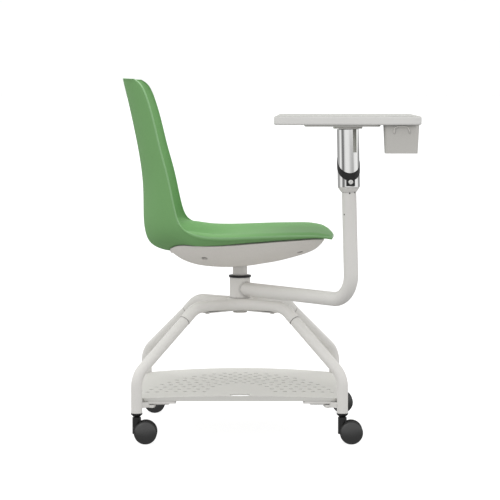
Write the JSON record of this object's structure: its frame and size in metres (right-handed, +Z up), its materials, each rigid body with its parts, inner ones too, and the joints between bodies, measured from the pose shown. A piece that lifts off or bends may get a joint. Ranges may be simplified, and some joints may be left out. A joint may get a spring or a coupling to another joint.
{
  "type": "student desk chair",
  "caption": "Swivel bucket chair on a castered four-leg base with a bag tray and a side arm that swings and folds a writing tablet.",
  "frame": {"origin": "on the floor, under the middle of the bounding box", "axes": "+Z up, the sitter faces +X, +Y to the sitter's left; the tablet arm rises on the -Y side"},
  "size_m": [0.6854, 0.6484, 0.8219],
  "materials": {
    "green_shell": "fine texture, green",
    "cover_plastic": "fine texture, light grey",
    "tray_plastic": "satin, light grey",
    "cap_plastic": "satin, light grey",
    "bin_plastic": "satin, grey",
    "black_plastic": "matte black",
    "wheel_plastic": "satin black",
    "frame_paint": "powder coat, light grey",
    "tablet_paint": "painted board, light grey",
    "chrome_sleeve": "satin chrome",
    "zinc_steel": "zinc plated"
  },
  "bodies": {
    "base": {"base_spider": "frame_paint", "spider_plate": "frame_paint", "spider_screws": "zinc_steel", "hub_cap": "cap_plastic", "centre_column": "frame_paint", "bag_tray": "tray_plastic", "tray_screws": "zinc_steel", "leg_rear_right": "frame_paint", "leg_front_right": "frame_paint", "leg_rear_left": "frame_paint", "leg_front_left": "frame_paint", "tray_bracket_rear_right": "frame_paint", "tray_bracket_front_right": "frame_paint", "tray_bracket_rear_left": "frame_paint", "tray_bracket_front_left": "frame_paint", "leg_insert_rear_right": "black_plastic", "leg_insert_front_right": "black_plastic", "leg_insert_rear_left": "black_plastic", "leg_insert_front_left": "black_plastic"},
    "seat": {"seat_shell": "green_shell", "seat_cover": "cover_plastic", "cover_screws": "zinc_steel", "seat_bracket": "zinc_steel", "seat_screws": "zinc_steel", "seat_post": "frame_paint"},
    "arm": {"arm_sleeve": "frame_paint", "thrust_ring": "black_plastic", "arm_tube": "frame_paint", "head_socket": "frame_paint", "fold_collar": "chrome_sleeve", "fold_bush": "black_plastic", "fold_screw": "zinc_steel", "fold_pin": "zinc_steel"},
    "tablet": {"head_sleeve": "chrome_sleeve", "head_flange": "frame_paint", "tablet_bracket": "frame_paint", "tablet_screws": "zinc_steel", "tablet_board": "tablet_paint", "accessory_bin": "bin_plastic"},
    "caster_rear_right": {"caster_stem_rear_right": "zinc_steel", "caster_housing_rear_right": "black_plastic", "caster_axle_rear_right": "zinc_steel"},
    "wheel_right_rear_right": {"wheel_right_rear_right": "wheel_plastic"},
    "wheel_left_rear_right": {"wheel_left_rear_right": "wheel_plastic"},
    "caster_front_right": {"caster_stem_front_right": "zinc_steel", "caster_housing_front_right": "black_plastic", "caster_axle_front_right": "zinc_steel"},
    "wheel_right_front_right": {"wheel_right_front_right": "wheel_plastic"},
    "wheel_left_front_right": {"wheel_left_front_right": "wheel_plastic"},
    "caster_rear_left": {"caster_stem_rear_left": "zinc_steel", "caster_housing_rear_left": "black_plastic", "caster_axle_rear_left": "zinc_steel"},
    "wheel_right_rear_left": {"wheel_right_rear_left": "wheel_plastic"},
    "wheel_left_rear_left": {"wheel_left_rear_left": "wheel_plastic"},
    "caster_front_left": {"caster_stem_front_left": "zinc_steel", "caster_housing_front_left": "black_plastic", "caster_axle_front_left": "zinc_steel"},
    "wheel_right_front_left": {"wheel_right_front_left": "wheel_plastic"},
    "wheel_left_front_left": {"wheel_left_front_left": "wheel_plastic"}
  },
  "joints": [
    {"name": "seat_swivel", "type": "hinge", "parent": "base", "child": "seat", "pos_m": [-0.0713, 0.0713, 0.3548], "axis": [0, 0, 1], "continuous": true},
    {"name": "arm_swing", "type": "hinge", "parent": "seat", "child": "arm", "pos_m": [-0.0713, 0.0713, 0.3318], "axis": [0, 0, 1], "range_deg": [-50, 60]},
    {"name": "tablet_fold", "type": "hinge", "parent": "arm", "child": "tablet", "pos_m": [0.16869, -0.2287, 0.62879], "axis": [-0.0713, 0.7018, -0.7088], "range_deg": [0, 180]},
    {"name": "caster_swivel_rear_right", "type": "hinge", "parent": "base", "child": "caster_rear_right", "pos_m": [-0.3028, -0.1602, 0.0618], "axis": [0, 0, 1], "continuous": true},
    {"name": "wheel_spin_right_rear_right", "type": "hinge", "parent": "caster_rear_right", "child": "wheel_right_rear_right", "pos_m": [-0.2828, -0.1766, 0.026], "axis": [0, 1, 0], "continuous": true},
    {"name": "wheel_spin_left_rear_right", "type": "hinge", "parent": "caster_rear_right", "child": "wheel_left_rear_right", "pos_m": [-0.2828, -0.1438, 0.026], "axis": [0, 1, 0], "continuous": true},
    {"name": "caster_swivel_front_right", "type": "hinge", "parent": "base", "child": "caster_front_right", "pos_m": [0.1602, -0.1602, 0.0618], "axis": [0, 0, 1], "continuous": true},
    {"name": "wheel_spin_right_front_right", "type": "hinge", "parent": "caster_front_right", "child": "wheel_right_front_right", "pos_m": [0.1802, -0.1766, 0.026], "axis": [0, 1, 0], "continuous": true},
    {"name": "wheel_spin_left_front_right", "type": "hinge", "parent": "caster_front_right", "child": "wheel_left_front_right", "pos_m": [0.1802, -0.1438, 0.026], "axis": [0, 1, 0], "continuous": true},
    {"name": "caster_swivel_rear_left", "type": "hinge", "parent": "base", "child": "caster_rear_left", "pos_m": [-0.3028, 0.3028, 0.0618], "axis": [0, 0, 1], "continuous": true},
    {"name": "wheel_spin_right_rear_left", "type": "hinge", "parent": "caster_rear_left", "child": "wheel_right_rear_left", "pos_m": [-0.2828, 0.2864, 0.026], "axis": [0, 1, 0], "continuous": true},
    {"name": "wheel_spin_left_rear_left", "type": "hinge", "parent": "caster_rear_left", "child": "wheel_left_rear_left", "pos_m": [-0.2828, 0.3192, 0.026], "axis": [0, 1, 0], "continuous": true},
    {"name": "caster_swivel_front_left", "type": "hinge", "parent": "base", "child": "caster_front_left", "pos_m": [0.1602, 0.3028, 0.0618], "axis": [0, 0, 1], "continuous": true},
    {"name": "wheel_spin_right_front_left", "type": "hinge", "parent": "caster_front_left", "child": "wheel_right_front_left", "pos_m": [0.1802, 0.2864, 0.026], "axis": [0, 1, 0], "continuous": true},
    {"name": "wheel_spin_left_front_left", "type": "hinge", "parent": "caster_front_left", "child": "wheel_left_front_left", "pos_m": [0.1802, 0.3192, 0.026], "axis": [0, 1, 0], "continuous": true}
  ]
}
